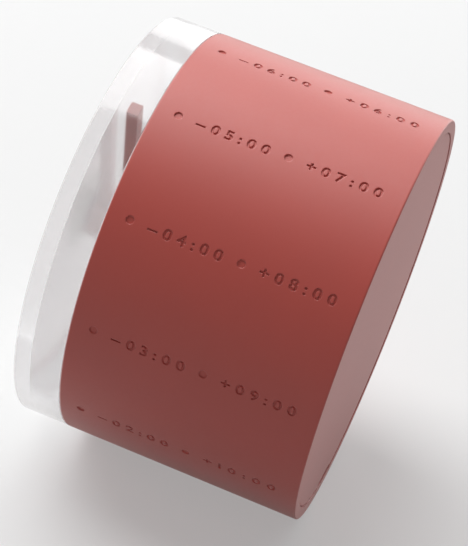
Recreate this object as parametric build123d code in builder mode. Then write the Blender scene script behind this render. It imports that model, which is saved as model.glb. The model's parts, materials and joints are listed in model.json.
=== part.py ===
"""World time clock: a round metal sleeve with a clear cap, one thick hand and a quartz movement inside.

The clock lies on its side. Its axis runs along Y, the dial faces -Y and the flat back faces +Y.
The origin is on the table, under the middle of the body. Sizes are in millimetres.
"""

from build123d import *
import math
import os

os.makedirs("parts", exist_ok=True)

# Fits and clearances
running_clearance = 0.05
end_shake = 0.1
slip_clearance = 0.1
moulding_gap = 0.3

# Sleeve
sleeve_length = 46.6
sleeve_wall = 4.25
edge_chamfer = 0.3

# Clear front cap
cap_length = 9.2
cap_disc = 2.6
cap_wall = 3.5
spigot_wall = 1.45
spigot_length = 3.5

# Dial
dial_thickness = 1.5
dial_wall = 0.9
dial_recess = 0.4
dial_gap = 0.2
hour_mark_count = 12
hour_mark_radius = 1.2
hour_mark_depth = 0.4
hour_mark_margin = 4.5

# Hand
hand_lift = 2.2
hand_depth = 3.2
hand_bar_depth = 2.3
hand_width = 2.4
hand_hub_radius = 5.0
hand_tip_gap = 1.5
hand_chamfer = 0.3
hand_angle = 61.0
hand_cap_thickness = 0.6
hand_cap_radius = 3.6
hand_cap_stub = 2.0

# Bush, washers and nut
bush_wall = 1.45
rubber_washer_thickness = 1.0
rubber_washer_width = 5.0
brass_washer_thickness = 0.4
brass_washer_width = 3.5
nut_thickness = 1.6
nut_flats = 12.0

# Back cover and its ring
cover_thickness = 2.4
cover_recess = 0.15
cover_ledge = 1.75
plug_length = 4.0
plug_wall = 2.2
ring_width = 1.6
ring_thickness = 1.0
ring_bevel = 0.3
notch_width = 8.0
notch_depth = 1.2

# Battery, an AAA cell
cell_length = 44.5
cell_radius = 5.25
cell_button_radius = 1.9
cell_button_length = 1.2
cell_edge = 0.5

# Movement case and its lid
case_wall = 1.2
case_corner = 4.0
front_plate = 1.6
train_depth = 11.6
lid_thickness = 1.2
lip_width = 0.6
lip_depth = 0.7
bay_clearance = 0.55
bore_clearance = 0.64
post_radius = 1.6
boss_wall = 0.75

# Battery contacts
strip_thickness = 0.4
contact_space = 2.55
contact_width = 5.6
strip_width = 1.2
spring_width = 5.0
bump_radius = 2.0

# Tooth form
pressure_angle = 25.0
tooth_addendum = 0.8
tooth_dedendum = 1.15
backlash = 0.07
wheel_flank_steps = 1
pinion_flank_steps = 2

# Motion work, from the cannon pinion to the hour wheel
hour_teeth = 40
minute_pinion_teeth = 10
minute_teeth = 36
cannon_teeth = 12
cannon_module = 0.4

# Drive train, from the rotor to the centre wheel
train_module = 0.3
centre_teeth = 64
third_teeth = 60
fourth_teeth = 60
fifth_teeth = 50
small_pinion_teeth = 8
large_pinion_teeth = 10

# Directions from each axis to the next, in degrees from +X towards +Z
minute_direction = -16.4
third_direction = 150.0
fourth_direction = 44.0
fifth_direction = 12.7
rotor_direction = -36.0

# Wheel thicknesses and the gaps between the layers of the train
wheel_thickness = 1.0
hour_wheel_thickness = 1.2
layer_gap = 0.8
motion_gap = 0.6
pinion_overhang = 0.1
rest_height = 0.5
pivot_boss_gap = 0.4

# Arbors
pivot_radius = 0.5
arbor_radius = 1.0
arbor_front_radius = 1.5
pipe_wall = 0.95
pivot_engagement = 0.9
press_clearance = 0.01
clutch_thickness = 0.4
clutch_width = 1.4

# Setting knob
knob_radius = 6.0
knob_thickness = 3.5
knob_gap = 0.5
knob_flutes = 12
flute_radius = 0.9
flute_depth = 0.6

# Motor
magnet_radius = 2.4
magnet_thickness = 1.2
magnet_air_gap = 0.4
plate_thickness = 0.8
stator_width = 7.0
stator_gap = 0.4
lug_height = 3.2
lug_margin = 1.6
core_width = 2.4
coil_length = 16.0
coil_flange_radius = 2.6
coil_flange_thickness = 0.8
coil_tube_radius = 1.6
winding_margin = 0.2
screw_radius = 0.7
screw_head_radius = 1.4
screw_head_thickness = 0.9
screw_length = 4.6

# Circuit board
board_thickness = 0.8
board_width = 11.2
board_top_gap = 2.3
board_depth = 9.8
post_inset = 2.4
chip_radius = 2.6
chip_thickness = 0.7
chip_bevel = 0.4
crystal_radius = 1.0
crystal_length = 6.0

# Gear sizes and centre distances
centre_to_minute = cannon_module * (minute_teeth + cannon_teeth) / 2
hour_module = 2 * centre_to_minute / (hour_teeth + minute_pinion_teeth)
centre_to_third = train_module * (centre_teeth + small_pinion_teeth) / 2
third_to_fourth = train_module * (third_teeth + small_pinion_teeth) / 2
fourth_to_fifth = train_module * (fourth_teeth + large_pinion_teeth) / 2
fifth_to_rotor = train_module * (fifth_teeth + large_pinion_teeth) / 2


def beside(start, distance, angle):
    """Point at a distance from another one, in the plan of the movement."""
    turn = math.radians(angle)
    return (start[0] + distance * math.cos(turn), start[1] + distance * math.sin(turn))


# Axes of the wheels, as (x, z) from the clock's axis
centre_axis = (0.0, 0.0)
minute_axis = beside(centre_axis, centre_to_minute, minute_direction)
third_axis = beside(centre_axis, centre_to_third, third_direction)
fourth_axis = beside(third_axis, third_to_fourth, fourth_direction)
fifth_axis = beside(fourth_axis, fourth_to_fifth, fifth_direction)
rotor_axis = beside(fifth_axis, fifth_to_rotor, rotor_direction)

# Coil and stator, beside the rotor
coil_x = rotor_axis[0] + stator_width / 2 + moulding_gap + coil_flange_radius
stator_half = coil_length / 2 + moulding_gap + lug_height
screw_offset = stator_half - lug_height / 2
screw_axes = [(coil_x, rotor_axis[1] - screw_offset), (coil_x, rotor_axis[1] + screw_offset)]

# Movement case, from the cell, the coil, the wheels and the stator that it holds
fifth_top = fifth_axis[1] + train_module * (fifth_teeth / 2 + tooth_addendum)
fourth_top = fourth_axis[1] + train_module * (fourth_teeth / 2 + tooth_addendum)
third_left = train_module * (third_teeth / 2 + tooth_addendum) - third_axis[0]
coil_right = coil_x + coil_flange_radius
stator_top = rotor_axis[1] + stator_half
train_room = max(coil_right, stator_top, fifth_top, fourth_top, third_left) + moulding_gap
bay_half = max(cell_length / 2 + contact_space, train_room)
case_half = bay_half + case_wall
bay_height = 2 * (cell_radius + bay_clearance)
partition_bottom = -bay_half + bay_height
partition_top = partition_bottom + case_wall
partition_middle = (partition_bottom + partition_top) / 2
strip_x = bay_half - strip_thickness / 2
cell_z = -bay_half + bay_height / 2
case_reach = math.sqrt(2) * (case_half - case_corner) + case_corner

# Housing radii, from the case that they hold
bore_radius = case_reach + bore_clearance
body_radius = bore_radius + sleeve_wall
cap_inner = body_radius - cap_wall
spigot_radius = cap_inner + spigot_wall
seat_radius = spigot_radius + running_clearance
cover_seat_radius = bore_radius + cover_ledge
axis_height = body_radius

# Stations along the axis
front_y = -(sleeve_length + cap_length) / 2
rim_y = front_y + cap_length
back_y = rim_y + sleeve_length
dial_seat_y = rim_y + spigot_length + dial_thickness
dial_face_y = rim_y + dial_recess
dial_back_y = dial_face_y + dial_thickness
case_front_y = dial_back_y + rubber_washer_thickness
cover_back_y = back_y - cover_recess
cover_seat_y = cover_back_y - cover_thickness
hand_back_y = rim_y - hand_lift
hand_front_y = hand_back_y - hand_depth

# Radii on the hour axis
arbor_bore = arbor_front_radius + running_clearance
pipe_radius = arbor_bore + pipe_wall
bush_bore = pipe_radius + running_clearance
bush_radius = bush_bore + bush_wall
bush_hole = bush_radius + slip_clearance

# Depths behind the front face of the case
rest_depth = front_plate + rest_height
hour_front = rest_depth + end_shake
hour_rear = hour_front + hour_wheel_thickness
minute_front = hour_rear + motion_gap
minute_rear = minute_front + wheel_thickness
centre_front = minute_rear + layer_gap + 2 * end_shake
centre_rear = centre_front + wheel_thickness
third_front = centre_rear + layer_gap
third_rear = third_front + wheel_thickness
fourth_front = third_rear + layer_gap
fourth_rear = fourth_front + wheel_thickness
stator_front = third_rear + stator_gap
stator_rear = stator_front + plate_thickness
core_rear = stator_rear + plate_thickness
coil_depth = (stator_rear + core_rear) / 2
wall_rear = front_plate + train_depth
lid_rear = wall_rear + lid_thickness
pivot_boss_rear = fourth_rear + pivot_boss_gap
pivot_tip = pivot_boss_rear + pivot_engagement
board_front = front_plate + board_depth
board_rear = board_front + board_thickness
cell_depth = front_plate + bay_clearance + cell_radius

# Board corners and posts
board_left = -bay_half + strip_thickness + slip_clearance
board_bottom = partition_top + slip_clearance
board_x = board_left + board_width / 2
board_top = bay_half - board_top_gap
board_height = board_top - board_bottom
board_z = (board_bottom + board_top) / 2
board_posts = [
    (board_left + post_inset, board_bottom + post_inset),
    (board_left + post_inset, board_top - post_inset),
]

# Planes and axes of the clock
axial_plane = Plane(origin=(0, 0, axis_height), x_dir=(0, 1, 0), z_dir=(1, 0, 0))
clock_axis = Axis((0, 0, axis_height), (0, 1, 0))


def across_plane(centre, y, turn=0.0):
    """Plane across the clock's axis at one station, facing the dial side."""
    direction = (math.cos(math.radians(turn)), 0, math.sin(math.radians(turn)))
    return Plane(origin=(centre[0], y, axis_height + centre[1]), x_dir=direction, z_dir=(0, -1, 0))


def depth_plane(centre, depth, turn=0.0):
    """Plane across the clock's axis at one depth behind the front face of the case."""
    return across_plane(centre, case_front_y + depth, turn)


def round_stretch(centre, front, rear, radius, mode=Mode.ADD):
    """Round stretch of a piece of the movement, between two depths."""
    with BuildSketch(depth_plane(centre, rear)) as outline:
        Circle(radius)
    extrude(outline.sketch, amount=rear - front, mode=mode)


def outermost_circles(builder):
    """Round edges of a turned piece that lie at its largest radius."""
    return builder.edges().filter_by(GeomType.CIRCLE).group_by(SortBy.RADIUS)[-1]


def involute(angle):
    """Involute function of an angle in radians."""
    return math.tan(angle) - angle


def tooth_flank(module, teeth, flank_steps):
    """Radii and half angles along one flank, from the root to the tip."""
    pitch_radius = module * teeth / 2
    base_radius = pitch_radius * math.cos(math.radians(pressure_angle))
    tip_radius = pitch_radius + tooth_addendum * module
    root_radius = pitch_radius - tooth_dedendum * module
    start_radius = max(base_radius, root_radius)
    half_tooth = math.pi / (2 * teeth) - backlash / (2 * pitch_radius)
    offset_angle = half_tooth + involute(math.radians(pressure_angle))
    flank = []
    for step in range(flank_steps + 1):
        radius = start_radius + (tip_radius - start_radius) * step / flank_steps
        flank.append((radius, offset_angle - involute(math.acos(base_radius / radius))))
    if root_radius < base_radius:
        flank.insert(0, (root_radius, flank[0][1]))
    return flank


def tooth_points(module, teeth, flank_steps):
    """Outline of a toothed wheel, with its first tooth on the local x axis."""
    flank = tooth_flank(module, teeth, flank_steps)
    points = []
    for tooth in range(teeth):
        middle = 2 * math.pi * tooth / teeth
        sides = [(radius, middle - half) for radius, half in flank]
        sides += [(radius, middle + half) for radius, half in reversed(flank)]
        points += [(radius * math.cos(angle), radius * math.sin(angle)) for radius, angle in sides]
    return points


def toothed_stretch(centre, front, rear, turn, points):
    """Toothed stretch between two depths, with the first tooth at a turn from +X."""
    with BuildSketch(depth_plane(centre, rear, turn)) as outline:
        with BuildLine():
            Polyline(*points, close=True)
        make_face()
    extrude(outline.sketch, amount=rear - front)


def wheel_stretch(centre, front, rear, module, teeth, turn):
    """Toothed rim of a wheel, whose flanks are nearly straight."""
    toothed_stretch(centre, front, rear, turn, tooth_points(module, teeth, wheel_flank_steps))


def pinion_stretch(centre, front, rear, module, teeth, turn):
    """Leaves of a pinion, whose flanks are bowed."""
    toothed_stretch(centre, front, rear, turn, tooth_points(module, teeth, pinion_flank_steps))


def root_radius(module, teeth):
    """Radius at the bottom of the teeth."""
    return module * (teeth / 2 - tooth_dedendum)


def meshed_turn(turn, teeth, next_teeth, direction):
    """Turn that puts a gap of the next wheel on a tooth of the one before it."""
    phase = (direction - turn) * teeth / 360.0 % 1.0
    return direction + 180.0 - 360.0 / next_teeth * (0.5 - phase)


# Turns of the wheels at rest, so that every pair is in mesh
hour_turn = hand_angle
minute_pinion_turn = meshed_turn(hour_turn, hour_teeth, minute_pinion_teeth, minute_direction)
minute_turn = minute_pinion_turn
cannon_turn = meshed_turn(minute_turn, minute_teeth, cannon_teeth, minute_direction + 180.0)
centre_turn = 0.0
third_turn = meshed_turn(centre_turn, centre_teeth, small_pinion_teeth, third_direction)
fourth_turn = meshed_turn(third_turn, third_teeth, small_pinion_teeth, fourth_direction)
fifth_turn = meshed_turn(fourth_turn, fourth_teeth, large_pinion_teeth, fifth_direction)
rotor_turn = meshed_turn(fifth_turn, fifth_teeth, large_pinion_teeth, rotor_direction)


# Sleeve, with a seat for the dial in front and one for the cover at the back
with BuildPart() as sleeve:
    with BuildSketch(axial_plane):
        with BuildLine():
            Polyline(
                (rim_y, seat_radius),
                (rim_y, body_radius),
                (back_y, body_radius),
                (back_y, cover_seat_radius),
                (cover_seat_y, cover_seat_radius),
                (cover_seat_y, bore_radius),
                (dial_seat_y, bore_radius),
                (dial_seat_y, seat_radius),
                close=True,
            )
        make_face()
    revolve(axis=clock_axis)
    chamfer(outermost_circles(sleeve), length=edge_chamfer)
sleeve.part.label = "sleeve"
export_step(sleeve.part, "parts/sleeve.step")


# Clear cap, a disc and a wall with a spigot that clamps the dial
with BuildPart() as front_cap:
    with BuildSketch(axial_plane):
        with BuildLine():
            Polyline(
                (front_y, 0),
                (front_y, body_radius),
                (rim_y, body_radius),
                (rim_y, spigot_radius),
                (rim_y + spigot_length, spigot_radius),
                (rim_y + spigot_length, cap_inner),
                (front_y + cap_disc, cap_inner),
                (front_y + cap_disc, 0),
                close=True,
            )
        make_face()
    revolve(axis=clock_axis)
    chamfer(outermost_circles(front_cap).sort_by(Axis.Y)[0], length=edge_chamfer)
front_cap.part.label = "front_cap"
export_step(front_cap.part, "parts/front_cap.step")


# Dial, a stepped pan whose flange lies on the sleeve's ledge
with BuildPart() as dial:
    with BuildSketch(axial_plane):
        with BuildLine():
            Polyline(
                (dial_face_y, bush_hole),
                (dial_face_y, cap_inner - dial_gap),
                (dial_seat_y - dial_thickness, cap_inner - dial_gap),
                (dial_seat_y - dial_thickness, seat_radius - slip_clearance),
                (dial_seat_y, seat_radius - slip_clearance),
                (dial_seat_y, cap_inner - dial_gap - dial_wall),
                (dial_back_y, cap_inner - dial_gap - dial_wall),
                (dial_back_y, bush_hole),
                close=True,
            )
        make_face()
    revolve(axis=clock_axis)
    with BuildSketch(across_plane(centre_axis, dial_face_y + hour_mark_depth)):
        with PolarLocations(cap_inner - hour_mark_margin, hour_mark_count):
            Circle(hour_mark_radius)
    extrude(amount=hour_mark_depth, mode=Mode.SUBTRACT)
dial.part.label = "dial"
export_step(dial.part, "parts/dial.step")


# Rubber washer between the movement and the dial
with BuildPart() as rubber_washer:
    with BuildSketch(across_plane(centre_axis, case_front_y)):
        Circle(bush_hole + rubber_washer_width)
        Circle(bush_hole, mode=Mode.SUBTRACT)
    extrude(amount=rubber_washer_thickness)
rubber_washer.part.label = "rubber_washer"
export_step(rubber_washer.part, "parts/rubber_washer.step")


# Brass washer under the nut
with BuildPart() as brass_washer:
    with BuildSketch(across_plane(centre_axis, dial_face_y)):
        Circle(bush_hole + brass_washer_width)
        Circle(bush_hole, mode=Mode.SUBTRACT)
    extrude(amount=brass_washer_thickness)
brass_washer.part.label = "brass_washer"
export_step(brass_washer.part, "parts/brass_washer.step")


# Hexagon nut that clamps the movement to the dial
nut_back_y = dial_face_y - brass_washer_thickness
nut_front_y = nut_back_y - nut_thickness
with BuildPart() as bush_nut:
    with BuildSketch(across_plane(centre_axis, nut_back_y)):
        RegularPolygon(nut_flats / 2, 6, major_radius=False)
        Circle(bush_radius + running_clearance, mode=Mode.SUBTRACT)
    extrude(amount=nut_thickness)
bush_nut.part.label = "bush_nut"
export_step(bush_nut.part, "parts/bush_nut.step")


# Movement case, with its bush, posts, pivot bosses and battery bay
train_height = bay_half - partition_top
train_middle = (bay_half + partition_top) / 2
front_pivots = [
    (third_axis, centre_front - 2 * pinion_overhang - end_shake),
    (fourth_axis, third_front - 2 * pinion_overhang - end_shake),
    (fifth_axis, third_front - end_shake),
    (rotor_axis, third_front - 2 * pinion_overhang - end_shake),
]
pivot_hole = pivot_radius + running_clearance
boss_radius = pivot_hole + boss_wall
screw_hole = screw_radius + running_clearance
with BuildPart() as movement_case:
    with BuildSketch(depth_plane(centre_axis, wall_rear)):
        RectangleRounded(2 * case_half, 2 * case_half, case_corner)
    extrude(amount=wall_rear)
    with BuildSketch(depth_plane(centre_axis, wall_rear)):
        RectangleRounded(2 * bay_half, 2 * bay_half, case_corner - case_wall)
        with Locations((0, partition_middle)):
            Rectangle(2 * case_half, case_wall, mode=Mode.SUBTRACT)
    extrude(amount=train_depth, mode=Mode.SUBTRACT)
    with BuildSketch(depth_plane((0, partition_middle), wall_rear)):
        with GridLocations(2 * strip_x, 0, 2, 1):
            Rectangle(strip_thickness + 2 * slip_clearance, case_wall)
    extrude(amount=wall_rear - board_front + 2 * strip_width, mode=Mode.SUBTRACT)
    round_stretch(centre_axis, nut_front_y - case_front_y, 0, bush_radius)
    round_stretch(centre_axis, front_plate, rest_depth, bush_radius)
    round_stretch(centre_axis, nut_front_y - case_front_y, rest_depth, bush_bore, Mode.SUBTRACT)
    round_stretch(minute_axis, front_plate, rest_depth, arbor_radius + boss_wall)
    round_stretch(minute_axis, rest_depth, minute_rear + 2 * end_shake, arbor_radius)
    for pivot_axis, boss_rear in front_pivots:
        round_stretch(pivot_axis, front_plate, boss_rear, boss_radius)
        pivot_front = boss_rear - pivot_engagement - end_shake
        round_stretch(pivot_axis, pivot_front, boss_rear, pivot_hole, Mode.SUBTRACT)
    for screw_axis in screw_axes:
        round_stretch(screw_axis, front_plate, stator_front, post_radius)
        screw_bottom = core_rear - screw_length - end_shake
        round_stretch(screw_axis, screw_bottom, stator_front, screw_hole, Mode.SUBTRACT)
    for board_post in board_posts:
        round_stretch(board_post, front_plate, board_front, post_radius)
movement_case.part.label = "movement_case"
export_step(movement_case.part, "parts/movement_case.step")


# Lid over the gear train, with the rear pivot bosses
lid_height = case_half - partition_bottom
lid_middle = (case_half + partition_bottom) / 2
lip_middle = (0, train_middle)
with BuildPart() as movement_cover:
    with BuildSketch(depth_plane((0, lid_middle), lid_rear)) as lid_outline:
        Rectangle(2 * case_half, lid_height)
        fillet(lid_outline.vertices().group_by(Axis.Y)[-1], radius=case_corner)
    extrude(amount=lid_thickness)
    with BuildSketch(depth_plane(lip_middle, wall_rear)) as lip_outline:
        Rectangle(2 * (bay_half - slip_clearance), train_height - 2 * slip_clearance)
        fillet(lip_outline.vertices().group_by(Axis.Y)[-1], radius=case_corner - case_wall)
        offset(amount=-lip_width, kind=Kind.INTERSECTION, mode=Mode.SUBTRACT)
    extrude(amount=lip_depth)
    for pivot_axis in (third_axis, fourth_axis, fifth_axis, rotor_axis):
        round_stretch(pivot_axis, pivot_boss_rear, wall_rear, boss_radius)
        pivot_end = pivot_tip + end_shake
        round_stretch(pivot_axis, pivot_boss_rear, pivot_end, pivot_hole, Mode.SUBTRACT)
    round_stretch(centre_axis, wall_rear, lid_rear, arbor_radius + running_clearance, Mode.SUBTRACT)
movement_cover.part.label = "movement_cover"
export_step(movement_cover.part, "parts/movement_cover.step")


# Hour wheel, with the pipe that runs through the bush and carries the hand
with BuildPart() as hour_wheel:
    wheel_stretch(centre_axis, hour_front, hour_rear, hour_module, hour_teeth, hour_turn)
    round_stretch(centre_axis, hand_front_y - case_front_y, hour_front, pipe_radius)
    round_stretch(centre_axis, hand_front_y - case_front_y, hour_rear, arbor_bore, Mode.SUBTRACT)
hour_wheel.part.label = "hour_wheel"
export_step(hour_wheel.part, "parts/hour_wheel.step")


# Hour hand, a thick bar on a round hub, flush with the hub's front
hand_reach = cap_inner - hand_tip_gap
with BuildPart() as hour_hand:
    with BuildSketch(across_plane(centre_axis, hand_back_y, hand_angle)):
        Circle(hand_hub_radius)
        Circle(pipe_radius + press_clearance, mode=Mode.SUBTRACT)
    extrude(amount=hand_depth)
    with BuildSketch(across_plane(centre_axis, hand_front_y + hand_bar_depth, hand_angle)):
        with Locations((hand_reach / 2, 0)):
            Rectangle(hand_reach, hand_width)
        Circle(pipe_radius + press_clearance, mode=Mode.SUBTRACT)
    extrude(amount=hand_bar_depth)
    front_edges = hour_hand.faces().sort_by(Axis.Y)[0].outer_wire().edges()
    chamfer(front_edges, length=hand_chamfer)
hour_hand.part.label = "hour_hand"
export_step(hour_hand.part, "parts/hour_hand.step")


# Cap in the front end of the pipe
with BuildPart() as hand_cap:
    with BuildSketch(across_plane(centre_axis, hand_front_y)):
        Circle(hand_cap_radius)
    extrude(amount=hand_cap_thickness)
    with BuildSketch(across_plane(centre_axis, hand_front_y + hand_cap_stub)):
        Circle(arbor_front_radius)
    extrude(amount=hand_cap_stub)
hand_cap.part.label = "hand_cap"
export_step(hand_cap.part, "parts/hand_cap.step")


# Minute wheel and its pinion, on a post of the case
with BuildPart() as minute_wheel:
    minute_leaves = (hour_front, minute_front)
    pinion_stretch(minute_axis, *minute_leaves, hour_module, minute_pinion_teeth, minute_pinion_turn)
    wheel_stretch(minute_axis, minute_front, minute_rear, cannon_module, minute_teeth, minute_turn)
    round_stretch(minute_axis, hour_front, minute_rear, arbor_radius + running_clearance, Mode.SUBTRACT)
minute_wheel.part.label = "minute_wheel"
export_step(minute_wheel.part, "parts/minute_wheel.step")


# Centre arbor, with the cannon pinion and a shoulder in front of the centre wheel
arbor_front = hand_front_y - case_front_y + hand_cap_stub + 2 * end_shake
knob_front = lid_rear + knob_gap
knob_rear = knob_front + knob_thickness
shoulder_radius = root_radius(cannon_module, cannon_teeth)
with BuildPart() as centre_arbor:
    round_stretch(centre_axis, arbor_front, hour_rear + end_shake, arbor_front_radius)
    round_stretch(centre_axis, hour_rear + end_shake, centre_front - end_shake, shoulder_radius)
    pinion_stretch(centre_axis, minute_front, minute_rear, cannon_module, cannon_teeth, cannon_turn)
    round_stretch(centre_axis, centre_front - end_shake, knob_rear, arbor_radius)
centre_arbor.part.label = "centre_arbor"
export_step(centre_arbor.part, "parts/centre_arbor.step")


# Spring washer behind the centre wheel, pressed on the arbor
clutch_front = centre_rear + end_shake
clutch_rear = clutch_front + clutch_thickness
with BuildPart() as clutch_washer:
    round_stretch(centre_axis, clutch_front, clutch_rear, arbor_radius + clutch_width)
    round_stretch(centre_axis, clutch_front, clutch_rear, arbor_radius, Mode.SUBTRACT)
clutch_washer.part.label = "clutch_washer"
export_step(clutch_washer.part, "parts/clutch_washer.step")


# Setting knob, fluted round its edge
with BuildPart() as setting_knob:
    with BuildSketch(depth_plane(centre_axis, knob_rear)):
        Circle(knob_radius)
        with PolarLocations(knob_radius + flute_radius - flute_depth, knob_flutes):
            Circle(flute_radius, mode=Mode.SUBTRACT)
        Circle(arbor_radius, mode=Mode.SUBTRACT)
    extrude(amount=knob_thickness)
setting_knob.part.label = "setting_knob"
export_step(setting_knob.part, "parts/setting_knob.step")


# Centre wheel, which slips on the arbor when the knob is turned
with BuildPart() as centre_wheel:
    wheel_stretch(centre_axis, centre_front, centre_rear, train_module, centre_teeth, centre_turn)
    round_stretch(centre_axis, centre_front, centre_rear, arbor_radius + running_clearance, Mode.SUBTRACT)
centre_wheel.part.label = "centre_wheel"
export_step(centre_wheel.part, "parts/centre_wheel.step")


# Third wheel and pinion
with BuildPart() as third_wheel:
    third_leaves = (centre_front - pinion_overhang, centre_rear + pinion_overhang)
    pinion_stretch(third_axis, *third_leaves, train_module, small_pinion_teeth, third_turn)
    wheel_stretch(third_axis, third_front, third_rear, train_module, third_teeth, third_turn)
    round_stretch(third_axis, centre_rear, third_front, root_radius(train_module, small_pinion_teeth))
    round_stretch(third_axis, front_pivots[0][1] - pivot_engagement, pivot_tip, pivot_radius)
third_wheel.part.label = "third_wheel"
export_step(third_wheel.part, "parts/third_wheel.step")


# Fourth wheel and pinion
with BuildPart() as fourth_wheel:
    fourth_leaves = (third_front - pinion_overhang, third_rear + pinion_overhang)
    pinion_stretch(fourth_axis, *fourth_leaves, train_module, small_pinion_teeth, fourth_turn)
    wheel_stretch(fourth_axis, fourth_front, fourth_rear, train_module, fourth_teeth, fourth_turn)
    round_stretch(fourth_axis, third_rear, fourth_front, root_radius(train_module, small_pinion_teeth))
    round_stretch(fourth_axis, front_pivots[1][1] - pivot_engagement, pivot_tip, pivot_radius)
fourth_wheel.part.label = "fourth_wheel"
export_step(fourth_wheel.part, "parts/fourth_wheel.step")


# Fifth wheel and pinion
with BuildPart() as fifth_wheel:
    wheel_stretch(fifth_axis, third_front, third_rear, train_module, fifth_teeth, fifth_turn)
    fifth_leaves = (fourth_front - pinion_overhang, fourth_rear + pinion_overhang)
    pinion_stretch(fifth_axis, *fifth_leaves, train_module, large_pinion_teeth, fifth_turn)
    round_stretch(fifth_axis, third_rear, fourth_front, root_radius(train_module, large_pinion_teeth))
    round_stretch(fifth_axis, front_pivots[2][1] - pivot_engagement, pivot_tip, pivot_radius)
fifth_wheel.part.label = "fifth_wheel"
export_step(fifth_wheel.part, "parts/fifth_wheel.step")


# Rotor arbor and pinion
with BuildPart() as rotor_pinion:
    rotor_leaves = (third_front - pinion_overhang, third_rear + pinion_overhang)
    pinion_stretch(rotor_axis, *rotor_leaves, train_module, large_pinion_teeth, rotor_turn)
    round_stretch(rotor_axis, front_pivots[3][1] - pivot_engagement, pivot_tip, pivot_radius)
rotor_pinion.part.label = "rotor_pinion"
export_step(rotor_pinion.part, "parts/rotor_pinion.step")


# Rotor magnet, pressed on the rotor arbor and level with the stator
magnet_front = (stator_front + stator_rear - magnet_thickness) / 2
with BuildPart() as rotor_magnet:
    round_stretch(rotor_axis, magnet_front, magnet_front + magnet_thickness, magnet_radius)
    round_stretch(rotor_axis, magnet_front, magnet_front + magnet_thickness, pivot_radius, Mode.SUBTRACT)
rotor_magnet.part.label = "rotor_magnet"
export_step(rotor_magnet.part, "parts/rotor_magnet.step")


# Stator, a plate round the magnet with a lug at each end of the coil
lug_reach = coil_x - rotor_axis[0] + lug_margin
with BuildPart() as stator:
    with BuildSketch(depth_plane(rotor_axis, stator_rear)):
        Rectangle(stator_width, 2 * stator_half)
        with Locations((lug_reach / 2, screw_offset), (lug_reach / 2, -screw_offset)):
            Rectangle(lug_reach, lug_height)
        Circle(magnet_radius + magnet_air_gap, mode=Mode.SUBTRACT)
        with Locations((coil_x - rotor_axis[0], screw_offset), (coil_x - rotor_axis[0], -screw_offset)):
            Circle(screw_hole, mode=Mode.SUBTRACT)
    extrude(amount=plate_thickness)
stator.part.label = "stator"
export_step(stator.part, "parts/stator.step")


# Iron core through the coil, lying on the stator's lugs
with BuildPart() as coil_core:
    with BuildSketch(depth_plane((coil_x, rotor_axis[1]), core_rear)):
        Rectangle(core_width, 2 * stator_half)
        with Locations((0, screw_offset), (0, -screw_offset)):
            Circle(screw_hole, mode=Mode.SUBTRACT)
    extrude(amount=plate_thickness)
coil_core.part.label = "coil_core"
export_step(coil_core.part, "parts/coil_core.step")


def coil_plane(offset_z):
    """Plane across the coil, at an offset along it from its middle."""
    origin = (coil_x, case_front_y + coil_depth, axis_height + rotor_axis[1] + offset_z)
    return Plane(origin=origin, x_dir=(1, 0, 0), z_dir=(0, 0, 1))


# Coil bobbin, a tube with two flanges round the core
with BuildPart() as coil_bobbin:
    with BuildSketch(coil_plane(-coil_length / 2)):
        Circle(coil_tube_radius)
    extrude(amount=coil_length)
    with BuildSketch(coil_plane(-coil_length / 2), coil_plane(coil_length / 2 - coil_flange_thickness)):
        Circle(coil_flange_radius)
    extrude(amount=coil_flange_thickness)
    with BuildSketch(coil_plane(-coil_length / 2)):
        Rectangle(core_width + 2 * running_clearance, plate_thickness + 2 * running_clearance)
    extrude(amount=coil_length, mode=Mode.SUBTRACT)
coil_bobbin.part.label = "coil_bobbin"
export_step(coil_bobbin.part, "parts/coil_bobbin.step")


# Copper winding between the flanges
with BuildPart() as coil_winding:
    with BuildSketch(coil_plane(-coil_length / 2 + coil_flange_thickness)):
        Circle(coil_flange_radius - winding_margin)
        Circle(coil_tube_radius, mode=Mode.SUBTRACT)
    extrude(amount=coil_length - 2 * coil_flange_thickness)
coil_winding.part.label = "coil_winding"
export_step(coil_winding.part, "parts/coil_winding.step")


# Screws through the core and the stator into the case
with BuildPart() as stator_screws:
    for screw_axis in screw_axes:
        round_stretch(screw_axis, core_rear - screw_length, core_rear, screw_radius)
        round_stretch(screw_axis, core_rear, core_rear + screw_head_thickness, screw_head_radius)
stator_screws.part.label = "stator_screws"
export_step(stator_screws.part, "parts/stator_screws.step")


# Circuit board on its two posts
with BuildPart() as circuit_board:
    with BuildSketch(depth_plane((board_x, board_z), board_rear)):
        RectangleRounded(board_width, board_height, case_corner - case_wall - strip_thickness)
    extrude(amount=board_thickness)
circuit_board.part.label = "circuit_board"
export_step(circuit_board.part, "parts/circuit_board.step")


# Sealed chip on the back of the board
with BuildPart() as control_chip:
    with BuildSketch(depth_plane((board_x, board_z), board_rear + chip_thickness)):
        Circle(chip_radius)
    extrude(amount=chip_thickness)
    chamfer(control_chip.faces().sort_by(Axis.Y)[-1].edges(), length=chip_bevel)
control_chip.part.label = "control_chip"
export_step(control_chip.part, "parts/control_chip.step")


# Crystal can on the front of the board
crystal_x = board_left + crystal_radius + moulding_gap
crystal_z = board_posts[1][1] - post_radius - moulding_gap - crystal_length
crystal_y = case_front_y + board_front - crystal_radius
with BuildPart() as quartz_crystal:
    crystal_plane = Plane(
        origin=(crystal_x, crystal_y, axis_height + crystal_z), x_dir=(1, 0, 0), z_dir=(0, 0, 1)
    )
    with BuildSketch(crystal_plane):
        Circle(crystal_radius)
    extrude(amount=crystal_length)
quartz_crystal.part.label = "quartz_crystal"
export_step(quartz_crystal.part, "parts/quartz_crystal.step")


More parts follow.
